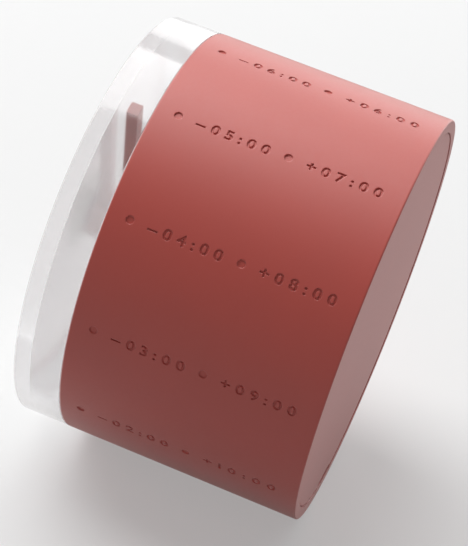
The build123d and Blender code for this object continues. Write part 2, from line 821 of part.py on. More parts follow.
# Battery, with its button towards the contact bump at -X
bump_height = contact_space - strip_thickness - cell_button_length
cell_left = -bay_half + strip_thickness + bump_height
cell_y = case_front_y + cell_depth
cell_plane = Plane(origin=(0, cell_y, axis_height + cell_z), x_dir=(1, 0, 0), z_dir=(0, -1, 0))
cell_axis = Axis((0, cell_y, axis_height + cell_z), (1, 0, 0))
with BuildPart() as battery:
    with BuildSketch(cell_plane):
        with BuildLine():
            Polyline(
                (cell_left, 0),
                (cell_left, cell_button_radius),
                (cell_left + cell_button_length, cell_button_radius),
                (cell_left + cell_button_length, cell_radius - cell_edge),
                (cell_left + cell_button_length + cell_edge, cell_radius),
                (cell_left + cell_length - cell_edge, cell_radius),
                (cell_left + cell_length, cell_radius - cell_edge),
                (cell_left + cell_length, 0),
                close=True,
            )
        make_face()
    revolve(axis=cell_axis)
battery.part.label = "battery"
export_step(battery.part, "parts/battery.step")


def bay_end_plane(x):
    """Plane across the battery bay at one x, facing +X, with local x along Y."""
    return Plane(origin=(x, cell_y, axis_height + cell_z), x_dir=(0, 1, 0), z_dir=(1, 0, 0))


# Contact strip at the button end, with a tongue beside the board
tongue_top = board_bottom + strip_width
tongue_depth = board_front - strip_width / 2
with BuildPart() as contact_plus:
    with BuildSketch(bay_end_plane(-bay_half)):
        Rectangle(2 * (board_rear - cell_depth), contact_width)
        tongue_height = tongue_top - cell_z
        with Locations((tongue_depth - cell_depth, tongue_height / 2)):
            Rectangle(2 * strip_width, tongue_height)
    extrude(amount=strip_thickness)
    with BuildSketch(bay_end_plane(-bay_half + strip_thickness)):
        Circle(bump_radius)
    extrude(amount=bump_height)
contact_plus.part.label = "contact_plus"
export_step(contact_plus.part, "parts/contact_plus.step")


# Spring contact at the flat end, with a strip along the partition to the board
cell_right = cell_left + cell_length
strip_z = partition_top + slip_clearance + strip_thickness / 2
spring_touch = cell_right + strip_thickness / 2
with BuildPart() as contact_minus:
    with BuildSketch(bay_end_plane(bay_half - strip_thickness)):
        Rectangle(2 * (board_rear - cell_depth), contact_width)
    extrude(amount=strip_thickness)
    with BuildSketch(depth_plane(centre_axis, cell_depth + spring_width / 2)):
        with BuildLine():
            Polyline(
                (strip_x, cell_z + contact_width / 2 - strip_thickness),
                (spring_touch, cell_z + bump_radius),
                (spring_touch, cell_z - bump_radius),
                (strip_x - strip_thickness, cell_z - contact_width / 2 + strip_thickness),
            )
        trace(line_width=strip_thickness)
    extrude(amount=spring_width)
    with BuildSketch(depth_plane(centre_axis, board_front)):
        with BuildLine():
            Polyline(
                (strip_x, cell_z),
                (strip_x, strip_z),
                (board_left + board_width - 2 * strip_width, strip_z),
            )
        trace(line_width=strip_thickness)
    extrude(amount=strip_width)
contact_minus.part.label = "contact_minus"
export_step(contact_minus.part, "parts/contact_minus.step")


# Back cover, a plate on the rear seat with a hollow plug in the bore
plug_radius = bore_radius - slip_clearance
plug_front_y = cover_seat_y - plug_length
groove_front_y = plug_front_y + (plug_length - ring_width) / 2 - slip_clearance
groove_back_y = groove_front_y + ring_width + 2 * slip_clearance
groove_middle_y = (groove_front_y + groove_back_y) / 2
groove_radius = plug_radius - ring_thickness
cover_radius = cover_seat_radius - slip_clearance
with BuildPart() as back_cover:
    with BuildSketch(axial_plane):
        with BuildLine():
            Polyline(
                (cover_back_y, 0),
                (cover_back_y, cover_radius),
                (cover_seat_y, cover_radius),
                (cover_seat_y, plug_radius),
                (groove_back_y, plug_radius),
                (groove_back_y, groove_radius),
                (groove_front_y, groove_radius),
                (groove_front_y, plug_radius),
                (plug_front_y, plug_radius),
                (plug_front_y, plug_radius - plug_wall),
                (cover_seat_y, plug_radius - plug_wall),
                (cover_seat_y, 0),
                close=True,
            )
        make_face()
    revolve(axis=clock_axis)
    with BuildSketch(across_plane((0, -cover_radius), cover_back_y)):
        Rectangle(notch_width, 2 * notch_depth)
    extrude(amount=-notch_depth, mode=Mode.SUBTRACT, both=True)
back_cover.part.label = "back_cover"
export_step(back_cover.part, "parts/back_cover.step")


# Sealing ring in the groove of the cover's plug
with BuildPart() as cover_o_ring:
    with BuildSketch(axial_plane) as ring_section:
        with Locations((groove_middle_y, groove_radius + ring_thickness / 2)):
            Rectangle(ring_width, ring_thickness)
        chamfer(ring_section.vertices(), length=ring_bevel)
    revolve(axis=clock_axis)
cover_o_ring.part.label = "cover_o_ring"
export_step(cover_o_ring.part, "parts/cover_o_ring.step")
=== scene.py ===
"""World time clock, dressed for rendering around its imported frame.

Every piece is in metres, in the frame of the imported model: the clock's axis runs along Y,
the dial faces -Y, the flat back faces +Y and the table is at Z = 0.
"""

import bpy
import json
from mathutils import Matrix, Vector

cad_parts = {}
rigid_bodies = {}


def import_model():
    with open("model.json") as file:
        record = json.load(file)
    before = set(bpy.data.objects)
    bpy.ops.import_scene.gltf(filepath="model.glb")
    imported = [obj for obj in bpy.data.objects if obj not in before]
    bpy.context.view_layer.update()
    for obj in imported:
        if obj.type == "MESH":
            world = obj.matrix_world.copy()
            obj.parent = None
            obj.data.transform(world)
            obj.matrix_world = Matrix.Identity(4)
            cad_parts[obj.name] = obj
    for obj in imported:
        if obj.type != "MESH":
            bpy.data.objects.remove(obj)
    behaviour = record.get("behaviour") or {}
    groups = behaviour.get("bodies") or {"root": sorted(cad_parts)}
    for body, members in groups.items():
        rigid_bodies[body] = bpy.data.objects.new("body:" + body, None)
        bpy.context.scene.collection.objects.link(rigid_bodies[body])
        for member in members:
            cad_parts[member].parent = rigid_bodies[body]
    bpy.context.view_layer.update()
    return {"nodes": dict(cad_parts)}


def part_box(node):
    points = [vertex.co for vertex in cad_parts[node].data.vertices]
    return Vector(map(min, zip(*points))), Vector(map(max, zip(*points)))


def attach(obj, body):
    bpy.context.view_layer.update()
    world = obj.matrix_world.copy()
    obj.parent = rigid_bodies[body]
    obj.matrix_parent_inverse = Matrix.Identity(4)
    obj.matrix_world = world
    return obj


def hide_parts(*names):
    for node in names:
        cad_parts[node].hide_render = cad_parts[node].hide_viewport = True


bl_info = {
    "name": "World Time Clock",
    "version": (1, 0, 0),
    "blender": (4, 5, 0),
    "location": "View3D > Sidebar > Clock",
    "description": "Models the visible pieces of a world time clock and finishes all of them",
    "category": "Object",
}

import json
import math

import bmesh
import bpy
from bpy.props import FloatProperty, FloatVectorProperty, IntProperty, PointerProperty
from bpy.types import Operator, Panel, PropertyGroup
from mathutils import Matrix, Quaternion, Vector

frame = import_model()

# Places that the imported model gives
SLEEVE_LOW, SLEEVE_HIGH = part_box("sleeve")
CAP_LOW, CAP_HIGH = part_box("front_cap")
DIAL_LOW, DIAL_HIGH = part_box("dial")
HAND_LOW, HAND_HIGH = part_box("hour_hand")
HAND_CAP_LOW, HAND_CAP_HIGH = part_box("hand_cap")
WASHER_LOW, WASHER_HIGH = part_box("brass_washer")
NUT_LOW, NUT_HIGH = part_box("bush_nut")
COVER_LOW, COVER_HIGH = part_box("back_cover")
RING_LOW, RING_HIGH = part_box("cover_o_ring")
AXIS_HEIGHT = (SLEEVE_LOW.z + SLEEVE_HIGH.z) / 2
AXIS_POINT = Vector((0, 0, AXIS_HEIGHT))
BODY_RADIUS = SLEEVE_HIGH.x
MM = 0.001

# Limits for finding, merging and shading what has been modelled
PLACE_TOLERANCE = 0.02 * MM
MERGE_DISTANCE = 0.0005 * MM
FACING = 0.9
EXACT = 0.9995
SHARP = math.radians(35.0)
HAND_SHARP = math.radians(30.0)
HAND_CAP_SHARP = math.radians(40.0)
NUT_SHARP = math.radians(25.0)
OUTLINE_SHARP = math.radians(40.0)

# Sides of round shapes, and how far a cutter reaches past what it cuts
SLEEVE_SIDES = 360
SHELL_SIDES = 256
DIAL_SIDES = 192
WASHER_SIDES = 128
SMALL_SIDES = 96
HOLE_SIDES = 64
MARK_SIDES = 48
DOT_SIDES = 40
NUT_SIDES = 6
CUT_MARGIN = 1.0 * MM


def length(name, description, value):
    """A size in metres that a user may change."""
    return FloatProperty(name=name, description=description, default=value, min=0.0, precision=5,
                         subtype="DISTANCE", unit="LENGTH")


def colour(name, description, value):
    """A linear colour that a user may change."""
    return FloatVectorProperty(name=name, description=description, default=value, size=3,
                               min=0.0, max=1.0, subtype="COLOR")


def angle(name, description, degrees):
    """An angle that a user may change."""
    return FloatProperty(name=name, description=description, default=math.radians(degrees),
                         subtype="ANGLE", unit="ROTATION")


def factor(name, description, value):
    """A plain number that a user may change."""
    return FloatProperty(name=name, description=description, default=value, min=0.0)


class ClockSizes(PropertyGroup):
    """Sizes of the pieces that are modelled here."""

    body_radius: length("Body Radius", "Outer radius of the sleeve", BODY_RADIUS)
    seat_radius: length("Front Seat Radius", "Bore at the front of the sleeve", BODY_RADIUS - 2.0 * MM)
    seat_depth: length("Front Seat Depth", "Depth of the seat for the dial", 5.0 * MM)
    bore_radius: length("Bore Radius", "Bore of the sleeve", BODY_RADIUS - 4.25 * MM)
    cover_seat_radius: length("Rear Seat Radius", "Recess for the back cover", BODY_RADIUS - 2.5 * MM)
    cover_seat_depth: length("Rear Seat Depth", "Depth of that recess", 2.55 * MM)
    rim_round: length("Rim Rounding", "Rounding of the sleeve's outer rims", 0.3 * MM)
    edge_round: length("Edge Rounding", "Rounding of small edges", 0.12 * MM)
    letter_height: length("Letter Height", "Height of the engraved numerals", 2.0 * MM)
    letter_stretch: factor("Letter Stretch", "Widening of the numerals along the axis", 1.2)
    wall_lean: length("Wall Lean", "Lean of an engraving's wall from the surface to the floor", 0.06 * MM)
    engraving_depth: length("Engraving Depth", "Depth of the numerals and dots", 0.26 * MM)
    dot_radius: length("Dot Radius", "Radius of the engraved dots", 0.76 * MM)
    coat_round: length("Coat Rounding", "Radius over which the coat rounds an edge in the light", 0.26 * MM)
    first_dot: length("First Dot", "Distance of the first dot from the front rim", 4.3 * MM)
    first_text: length("First Numeral", "Start of the first numeral, from the front rim", 7.7 * MM)
    second_dot: length("Second Dot", "Distance of the second dot from the front rim", 25.0 * MM)
    last_text: length("Row End", "End of the second numeral, from the front rim", 42.4 * MM)
    row_count: IntProperty(name="Rows", description="Engraved rows round the sleeve", default=12, min=1)
    cap_disc: length("Cap Disc", "Thickness of the clear cap's disc", 2.6 * MM)
    cap_inner: length("Cap Inner Radius", "Inner radius of the clear cap", BODY_RADIUS - 3.5 * MM)
    spigot_radius: length("Spigot Radius", "Outer radius of the clear cap's spigot", BODY_RADIUS - 2.05 * MM)
    spigot_length: length("Spigot Length", "Length of the clear cap's spigot", 3.5 * MM)
    dial_hole: length("Dial Hole", "Radius of the hole in the dial", 4.1 * MM)
    dial_thickness: length("Dial Thickness", "Thickness of the dial", 1.5 * MM)
    dial_wall: length("Dial Wall", "Wall of the dial's pan", 0.9 * MM)
    pan_gap: length("Pan Gap", "Gap between the dial's pan and the clear cap", 0.2 * MM)
    mark_count: IntProperty(name="Hour Marks", description="Hour marks round the dial", default=12, min=1)
    mark_radius: length("Hour Mark Radius", "Radius of the dial's hour marks", 1.2 * MM)
    mark_circle: length("Hour Mark Circle", "Radius of the circle of hour marks", BODY_RADIUS - 8.0 * MM)
    mark_depth: length("Hour Mark Depth", "Depth of the hour marks", 0.4 * MM)
    hand_angle: angle("Hand Angle", "Direction of the hour hand at rest, from +X towards +Z", 61.0)
    hand_width: length("Hand Width", "Width of the hour hand", 2.4 * MM)
    hand_bar: length("Hand Bar Depth", "Depth of the hour hand's bar along the axis", 2.3 * MM)
    hand_reach: length("Hand Reach", "Distance of the hand's tip from the axis", BODY_RADIUS - 5.0 * MM)
    hand_hub: length("Hand Hub Radius", "Radius of the hand's hub", 5.0 * MM)
    hand_hole: length("Hand Hole", "Radius of the hole in the hub", 2.51 * MM)
    hand_round: length("Hand Rounding", "Rounding of the hand's front edges", 0.3 * MM)
    hole_margin: length("Hole Margin", "Ring round the hub's hole that isn't rounded", 0.1 * MM)
    stub_radius: length("Hand Cap Stub", "Radius of the stub in the pipe", 1.5 * MM)
    cap_plate: length("Hand Cap Plate", "Thickness of the hand cap's plate", 0.6 * MM)
    hand_cap_round: length("Hand Cap Rounding", "Rounding of the hand cap's front edge", 0.35 * MM)
    bush_radius: length("Bush Radius", "Hole in the nut", 4.05 * MM)
    washer_hole: length("Washer Hole", "Hole in the plated washer", 4.1 * MM)
    washer_round: length("Washer Rounding", "Rounding of the washer's front edge", 0.1 * MM)
    nut_margin: length("Nut Margin", "Reach of the nut's chamfer cone past its corners", 0.1 * MM)
    nut_chamfer: length("Nut Chamfer", "Chamfer of that cone", 0.95 * MM)
    cover_round: length("Cover Rounding", "Rounding of the cover's rear edge", 0.2 * MM)
    plug_round: length("Plug Rounding", "Rounding of the plug's front edge", 0.3 * MM)
    plug_length: length("Plug Length", "Length of the back cover's plug", 4.0 * MM)
    plug_radius: length("Plug Radius", "Outer radius of that plug", BODY_RADIUS - 4.35 * MM)
    plug_wall: length("Plug Wall", "Wall of that plug", 2.2 * MM)
    groove_width: length("Groove Width", "Width of the sealing ring's groove", 1.8 * MM)
    groove_depth: length("Groove Depth", "Depth of that groove", 1.0 * MM)
    notch_width: length("Notch Width", "Width of the pry notch in the cover", 8.0 * MM)
    notch_depth: length("Notch Depth", "Depth of the pry notch", 1.2 * MM)


class ClockColours(PropertyGroup):
    """Colours of the finishes."""

    coat: colour("Red Coat", "Satin coat on the sleeve and the cover", (0.49, 0.040, 0.022))
    dial: colour("Dial", "Moulded plastic of the dial", (0.88, 0.84, 0.83))
    hand: colour("Hand", "Satin plastic of the hour hand", (0.32, 0.075, 0.062))
    nickel: colour("Nickel", "Plating of the nut and its washer", (0.66, 0.64, 0.61))
    acrylic: colour("Acrylic", "Clear plastic of the front cap", (0.88, 0.872, 0.878))
    rubber: colour("Rubber", "Washer and sealing ring", (0.018, 0.018, 0.019))
    brass: colour("Brass", "Turned arbor", (0.71, 0.50, 0.22))
    case: colour("Case", "Moulded plastic of the movement case", (0.028, 0.028, 0.030))
    wheel: colour("Wheels", "Moulded plastic of the wheels", (0.76, 0.75, 0.71))
    bobbin: colour("Bobbin", "Moulded plastic of the coil's bobbin", (0.62, 0.30, 0.07))
    steel: colour("Steel", "Contacts, stator, screws", (0.58, 0.58, 0.57))
    magnet: colour("Magnet", "Sintered rotor magnet", (0.075, 0.073, 0.078))
    copper: colour("Copper", "Enamelled wire of the coil", (0.62, 0.25, 0.11))
    board: colour("Board", "Lacquer of the circuit board", (0.030, 0.16, 0.075))
    cell: colour("Cell", "Printed wrap of the battery", (0.10, 0.105, 0.11))
    floor: colour("Floor", "Seamless paper under the clock", (0.478, 0.48, 0.48))


class ClockStage(PropertyGroup):
    """Camera and light."""

    azimuth: angle("Azimuth", "Camera direction round the clock, 0 looks along +Y", 100.424)
    elevation: angle("Elevation", "Camera height above the horizon", 29.047)
    roll: angle("Roll", "Turn of the camera about its own axis", 16.454)
    distance: length("Distance", "Camera distance from the point it looks at", 0.36879)
    aim_y: FloatProperty(name="Aim Y", description="Point looked at, along the axis", default=-0.000853,
                         precision=5, subtype="DISTANCE", unit="LENGTH")
    aim_z: length("Aim Z", "Height of the point looked at", 0.0382767)
    lens: FloatProperty(name="Lens", description="Focal length on a 36 mm sensor", default=127.77, min=1.0,
                        subtype="DISTANCE_CAMERA", unit="CAMERA")
    key_angle: angle("Key Angle", "Direction of the overhead light, from +X over the top", 106.0)
    key_lean: angle("Key Lean", "Lean of the overhead light towards the dial's side", 30.0)
    key_distance: length("Key Distance", "Distance of the overhead light", 1.1)
    key_size: length("Key Size", "Diameter of the overhead light", 1.1)
    key_power: factor("Key Power", "Power of the overhead light in watts", 15.0)
    rim_angle: angle("Rim Angle", "Direction of the low light behind, from +X over the top", 163.0)
    rim_lean: angle("Rim Lean", "Lean of the low light towards the dial, or away from it", -6.0)
    rim_distance: length("Rim Distance", "Distance of the low light", 1.2)
    rim_size: length("Rim Size", "Diameter of the low light", 1.2)
    rim_power: factor("Rim Power", "Power of the low light in watts", 7.5)
    sky: factor("Sky", "Strength of the even light from all sides", 0.12)
    backdrop: factor("Backdrop", "Strength of the pale background", 0.88)
    floor_lift: factor("Floor Lift", "Paleness that the floor adds to its shadows where it is seen", 0.34)
    floor_radius: length("Floor Radius", "Radius of the paper under the clock", 4.0)
    sweep_start: length("Sweep Start", "Distance at which the floor starts to run into the background", 0.35)
    sweep_end: length("Sweep End", "Distance at which the floor has the background's paleness", 1.4)


def sizes():
    """The sizes of this scene."""
    return bpy.context.scene.clock_sizes


def colours():
    """The colours of this scene."""
    return bpy.context.scene.clock_colours


# Modelling steps

def clear_selection():
    """Leaves edit mode and deselects everything."""
    active = bpy.context.view_layer.objects.active
    if active is not None and active.mode != "OBJECT":
        bpy.ops.object.mode_set(mode="OBJECT")
    for item in bpy.context.view_layer.objects:
        item.select_set(False)


def make_active(piece):
    """Selects one object alone and makes it the active one."""
    clear_selection()
    bpy.context.view_layer.objects.active = piece
    piece.select_set(True)


def named(name):
    """Names the new object and its mesh, with its place put into the mesh."""
    piece = bpy.context.object
    piece.name = name
    piece.data.name = name
    bpy.ops.object.transform_apply(location=True, rotation=True, scale=True)
    return piece


def add_drum(name, radius, front, rear, sides):
    """Adds a closed drum on the clock's axis between two stations, and opens it for editing."""
    clear_selection()
    bpy.ops.mesh.primitive_cylinder_add(
        vertices=sides, radius=radius, depth=rear - front, end_fill_type="NGON",
        location=(0, (front + rear) / 2, AXIS_HEIGHT), rotation=(math.pi / 2, 0, 0))
    piece = named(name)
    bpy.ops.object.mode_set(mode="EDIT")
    return piece


def add_plain_drum(name, radius, front, rear, sides):
    """Adds a closed drum that needs no editing."""
    piece = add_drum(name, radius, front, rear, sides)
    bpy.ops.object.mode_set(mode="OBJECT")
    return piece


def add_block(matrix):
    """Adds a block that a matrix makes from a unit cube, with its place in its mesh."""
    clear_selection()
    bpy.ops.mesh.primitive_cube_add(size=1.0)
    block = bpy.context.object
    block.data.transform(matrix)
    return block


def joined(pieces):
    """Joins objects into the first of them."""
    clear_selection()
    for piece in pieces:
        piece.select_set(True)
    bpy.context.view_layer.objects.active = pieces[0]
    bpy.ops.object.join()
    return bpy.context.object


def pick_end(piece, y, facing):
    """Selects the flat faces at one station whose normals look one way along the axis."""
    bpy.ops.mesh.select_mode(type="FACE")
    bpy.ops.mesh.select_all(action="DESELECT")
    mesh = bmesh.from_edit_mesh(piece.data)
    for face in mesh.faces:
        here = abs(face.calc_center_median().y - y) < PLACE_TOLERANCE
        face.select_set(here and face.normal.y * facing > FACING)
    found = sum(face.select for face in mesh.faces)
    bmesh.update_edit_mesh(piece.data)
    if not found:
        raise RuntimeError(f"{piece.name} has no end face at {y}")


def step_end(inset, shift):
    """Insets the selected end face and, where asked, pushes the inner face along the axis."""
    if inset:
        bpy.ops.mesh.inset(thickness=inset, depth=0)
    if shift:
        bpy.ops.mesh.extrude_region_move(TRANSFORM_OT_translate={"value": (0, shift, 0)})


def pick_rings(piece, rings):
    """Selects the round edges that lie on any of the given (radius, station) circles."""
    bpy.ops.mesh.select_mode(type="EDGE")
    bpy.ops.mesh.select_all(action="DESELECT")
    mesh = bmesh.from_edit_mesh(piece.data)
    for edge in mesh.edges:
        for radius, y in rings:
            on_ring = [
                abs(end.co.y - y) < PLACE_TOLERANCE
                and abs(math.hypot(end.co.x, end.co.z - AXIS_HEIGHT) - radius) < PLACE_TOLERANCE
                for end in edge.verts
            ]
            if all(on_ring):
                edge.select_set(True)
    found = sum(edge.select for edge in mesh.edges)
    bmesh.update_edit_mesh(piece.data)
    if not found:
        raise RuntimeError(f"{piece.name} has no round edges at {rings}")


def round_rings(piece, rings, width, segments=3):
    """Rounds the edges on the given circles."""
    pick_rings(piece, rings)
    bpy.ops.mesh.bevel(offset=width, offset_type="OFFSET", segments=segments, affect="EDGES")


def bridge_openings():
    """Joins the two open rims of the piece being edited."""
    bpy.ops.mesh.select_mode(type="EDGE")
    bpy.ops.mesh.select_all(action="DESELECT")
    bpy.ops.mesh.select_non_manifold()
    bpy.ops.mesh.bridge_edge_loops()


def combine(piece, other, operation, overlapping=False):
    """Applies a boolean of another object to a piece and removes that object."""
    make_active(piece)
    bpy.ops.object.modifier_add(type="BOOLEAN")
    modifier = piece.modifiers[-1]
    modifier.operation = operation
    modifier.solver = "EXACT"
    modifier.use_self = overlapping
    modifier.object = other
    faces_before = len(piece.data.polygons)
    bpy.ops.object.modifier_apply(modifier=modifier.name)
    if len(piece.data.polygons) == faces_before:
        raise RuntimeError(f"the boolean left {piece.name} as it was")
    bpy.data.objects.remove(other)


def bore(piece, radius, front, rear):
    """Cuts a round hole on the clock's axis right through a piece."""
    hole = add_plain_drum("hole", radius, front - CUT_MARGIN, rear + CUT_MARGIN, HOLE_SIDES)
    combine(piece, hole, "DIFFERENCE")


def open_edges(piece):
    """The number of edges that don't lie between two faces."""
    mesh = bmesh.new()
    mesh.from_mesh(piece.data)
    count = sum(1 for edge in mesh.edges if len(edge.link_faces) != 2)
    mesh.free()
    return count


def merge_and_face_out(piece):
    """Merges doubled points and turns all faces outwards."""
    make_active(piece)
    bpy.ops.object.mode_set(mode="EDIT")
    bpy.ops.mesh.select_all(action="SELECT")
    bpy.ops.mesh.remove_doubles(threshold=MERGE_DISTANCE)
    bpy.ops.mesh.normals_make_consistent(inside=False)
    bpy.ops.object.mode_set(mode="OBJECT")


def smooth(piece, sharp=SHARP):
    """Shades a piece smooth, with sharp edges above an angle."""
    make_active(piece)
    bpy.ops.object.shade_smooth_by_angle(angle=sharp)


def smooth_turned(piece):
    """Shades a turned piece smooth, with exact normals on its flat ends and its walls round the axis."""
    smooth(piece)
    mesh = piece.data
    normals = [Vector(corner.vector) for corner in mesh.corner_normals]
    exact = {}
    blends = []
    for face in mesh.polygons:
        outward = Vector((face.center.x, 0, face.center.z - AXIS_HEIGHT)).normalized()
        radial = face.normal.dot(outward)
        if max(abs(face.normal.y), abs(radial)) < EXACT:
            blends.append(face)
            continue
        for corner in face.loop_indices:
            point = mesh.loops[corner].vertex_index
            normal = Vector((0, face.normal.y, 0))
            if abs(radial) > EXACT:
                place = mesh.vertices[point].co
                normal = Vector((place.x, 0, place.z - AXIS_HEIGHT)) * radial
            normals[corner] = normal.normalized()
            exact.setdefault(point, []).append(normals[corner])

    # A rounding takes the exact normal where it runs into a wall or an end
    for face in blends:
        for corner in face.loop_indices:
            for normal in exact.get(mesh.loops[corner].vertex_index, ()):
                if normal.dot(face.normal) > math.cos(SHARP):
                    normals[corner] = normal
    mesh.normals_split_custom_set(normals)


def hand_in(piece, body, slot, finish, *nodes):
    """Gives a finished piece its material, its body and the nodes that it stands for."""
    clear_selection()
    piece.data.materials.clear()
    piece.data.materials.append(finish)
    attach(piece, body)
    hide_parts(*nodes)


# Finishes
WHITE = (1.0, 1.0, 1.0, 1.0)

# Part of a pattern over which a colour or roughness changes
PATTERN_LOW = 0.3
PATTERN_HIGH = 0.7

# Share of a lamp's light that one surface of acrylic lets through
SHADOW_CLEARNESS = 0.73

# Rays that look for edges near a point of the coat
EDGE_SAMPLES = 8


class Finish:
    """A node material under construction, on Object coordinates."""

    def __init__(self, name):
        self.material = bpy.data.materials.new(name)
        self.material.use_nodes = True
        self.nodes = self.material.node_tree.nodes
        self.links = self.material.node_tree.links
        self.shader = self.nodes["Principled BSDF"]
        self.place = self.nodes.new("ShaderNodeTexCoord").outputs["Object"]

    def noise(self, scale, detail=3.0, stretch=None):
        """A noise pattern, with its scale in cells per metre."""
        node = self.nodes.new("ShaderNodeTexNoise")
        node.inputs["Scale"].default_value = scale
        node.inputs["Detail"].default_value = detail
        source = self.place
        if stretch:
            mapping = self.nodes.new("ShaderNodeMapping")
            mapping.inputs["Scale"].default_value = stretch
            self.links.new(source, mapping.inputs["Vector"])
            source = mapping.outputs["Vector"]
        self.links.new(source, node.inputs["Vector"])
        return node.outputs["Fac"]

    def ramp(self, source, stops):
        """Colours along a pattern, from (position, colour) pairs."""
        node = self.nodes.new("ShaderNodeValToRGB")
        elements = node.color_ramp.elements
        while len(elements) < len(stops):
            elements.new(0.5)
        for element, (position, shade) in zip(elements, stops):
            element.position = position
            element.color = (*shade, 1.0)
        self.links.new(source, node.inputs["Fac"])
        return node.outputs["Color"]

    def span(self, source, low, high):
        """A number that follows a pattern between two values."""
        node = self.nodes.new("ShaderNodeMapRange")
        node.inputs["From Min"].default_value = PATTERN_LOW
        node.inputs["From Max"].default_value = PATTERN_HIGH
        node.inputs["To Min"].default_value = low
        node.inputs["To Max"].default_value = high
        self.links.new(source, node.inputs["Value"])
        return node.outputs["Result"]

    def colour(self, source, shade, spread):
        """Base colour that varies a little with a pattern."""
        darker = [part * (1 - spread) for part in shade]
        lighter = [min(1.0, part * (1 + spread)) for part in shade]
        shades = self.ramp(source, [(PATTERN_LOW, darker), (PATTERN_HIGH, lighter)])
        self.links.new(shades, self.shader.inputs["Base Color"])

    def roughness(self, source, low, high):
        """Roughness that varies with a pattern."""
        self.links.new(self.span(source, low, high), self.shader.inputs["Roughness"])

    def bump(self, source, height, edge_round=0.0):
        """Relief from a pattern, with its height in metres, over edges that may be rounded in the light."""
        node = self.nodes.new("ShaderNodeBump")
        node.inputs["Distance"].default_value = height
        self.links.new(source, node.inputs["Height"])
        self.links.new(node.outputs["Normal"], self.shader.inputs["Normal"])
        if edge_round:
            rounding = self.nodes.new("ShaderNodeBevel")
            rounding.samples = EDGE_SAMPLES
            rounding.inputs["Radius"].default_value = edge_round
            self.links.new(rounding.outputs["Normal"], node.inputs["Normal"])

    def let_lamps_through(self):
        """Clear to shadow rays, so that lamps light what is behind the surface."""
        nodes, links = self.nodes, self.links
        output = nodes["Material Output"]
        path = nodes.new("ShaderNodeLightPath")
        clear = nodes.new("ShaderNodeBsdfTransparent")
        clear.inputs["Color"].default_value = (SHADOW_CLEARNESS, SHADOW_CLEARNESS, SHADOW_CLEARNESS, 1.0)
        mix = nodes.new("ShaderNodeMixShader")
        links.new(path.outputs["Is Shadow Ray"], mix.inputs["Fac"])
        links.new(self.shader.outputs["BSDF"], mix.inputs[1])
        links.new(clear.outputs["BSDF"], mix.inputs[2])
        links.new(mix.outputs["Shader"], output.inputs["Surface"])

    def set(self, **values):
        """Constants on the shader's own sockets."""
        for name, value in values.items():
            self.shader.inputs[name.replace("_", " ")].default_value = value
        return self.material


def coat_finish():
    """Satin red coat over blasted aluminium, the same on the sleeve and the cover."""
    made = bpy.data.materials.get("red_coat")
    if made is not None:
        return made
    finish = Finish("red_coat")
    finish.colour(finish.noise(70.0), colours().coat, 0.03)
    finish.roughness(finish.noise(1400.0), 0.50, 0.56)
    finish.bump(finish.noise(5200.0, 2.0), 0.004 * MM, sizes().coat_round)
    return finish.set(IOR=1.72, Sheen_Weight=0.8, Sheen_Tint=(1.0, 0.72, 0.70, 1.0))


def acrylic_finish():
    """Clear cast acrylic with a polished surface."""
    finish = Finish("clear_acrylic")
    finish.roughness(finish.noise(120.0, 1.0), 0.10, 0.12)
    finish.let_lamps_through()
    return finish.set(Base_Color=(*colours().acrylic, 1.0), IOR=1.49, Transmission_Weight=1.0)


def moulded_finish(name, shade, low=0.38, high=0.48, grain=2600.0, spread=0.06):
    """Moulded plastic with a fine spark-eroded grain."""
    finish = Finish(name)
    finish.colour(finish.noise(160.0), shade, spread)
    finish.roughness(finish.noise(900.0), low, high)
    finish.bump(finish.noise(grain, 2.0), 0.006 * MM)
    return finish.set(IOR=1.5)


def metal_finish(name, shade, low, high, stretch=(1.0, 1.0, 1.0), grain=1800.0):
    """Bare metal with fine machining marks."""
    finish = Finish(name)
    marks = finish.noise(grain, 4.0, stretch)
    finish.colour(finish.noise(240.0), shade, 0.08)
    finish.roughness(marks, low, high)
    finish.bump(marks, 0.003 * MM)
    return finish.set(Metallic=1.0)


def satin_plastic(name, shade):
    """Satin tinted plastic with hardly any grain."""
    finish = Finish(name)
    finish.colour(finish.noise(200.0), shade, 0.04)
    finish.roughness(finish.noise(1600.0), 0.30, 0.38)
    finish.bump(finish.noise(4800.0, 2.0), 0.002 * MM)
    return finish.set(IOR=1.5)


def rubber_finish():
    """Black moulded rubber."""
    finish = Finish("black_rubber")
    finish.colour(finish.noise(300.0), colours().rubber, 0.2)
    finish.roughness(finish.noise(1500.0), 0.62, 0.78)
    finish.bump(finish.noise(3600.0, 2.0), 0.01 * MM)
    return finish.set(IOR=1.52)


def seen_rays(nodes, links):
    """A number that is 1 on rays that show a surface: camera, glossy and transmission rays."""
    rays = nodes.new("ShaderNodeLightPath")
    seen = rays.outputs["Is Camera Ray"]
    for kind in ("Is Glossy Ray", "Is Transmission Ray"):
        either = nodes.new("ShaderNodeMath")
        either.operation = "MAXIMUM"
        links.new(seen, either.inputs[0])
        links.new(rays.outputs[kind], either.inputs[1])
        seen = either.outputs["Value"]
    return seen


